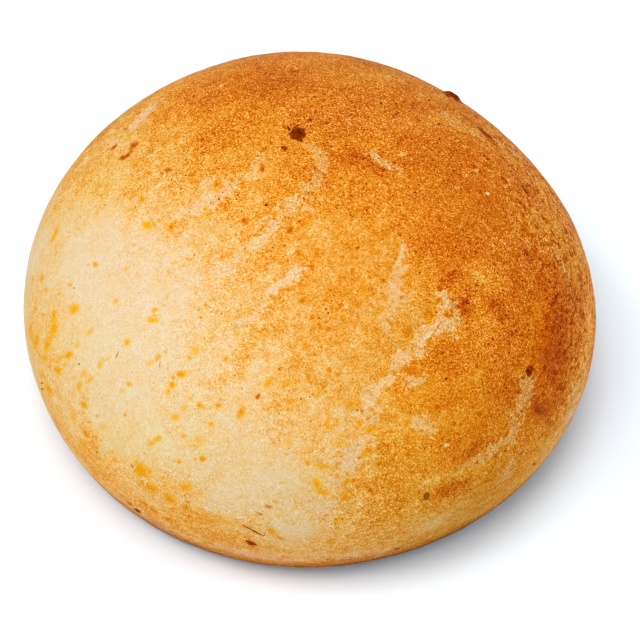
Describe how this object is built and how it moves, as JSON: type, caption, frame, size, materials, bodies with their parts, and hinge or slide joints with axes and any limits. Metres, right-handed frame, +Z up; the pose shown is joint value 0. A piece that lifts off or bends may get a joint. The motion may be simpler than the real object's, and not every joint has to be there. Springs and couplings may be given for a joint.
{
  "type": "pan de bono",
  "caption": "Round baked cheese bun with a domed crown, a side that draws in to a flat base, and shallow wrinkles in the crust.",
  "frame": {"origin": "bottom centre of the bounding box, on the flat base", "axes": "+Z up through the crown, +X across the bun along its longer plan width, -Y towards the side with the low wrinkles"},
  "size_m": [0.0862, 0.0852, 0.047],
  "materials": {
    "crust": "baked crust, golden to pale"
  },
  "bodies": {
    "root": {"bun": "crust"}
  },
  "joints": []
}
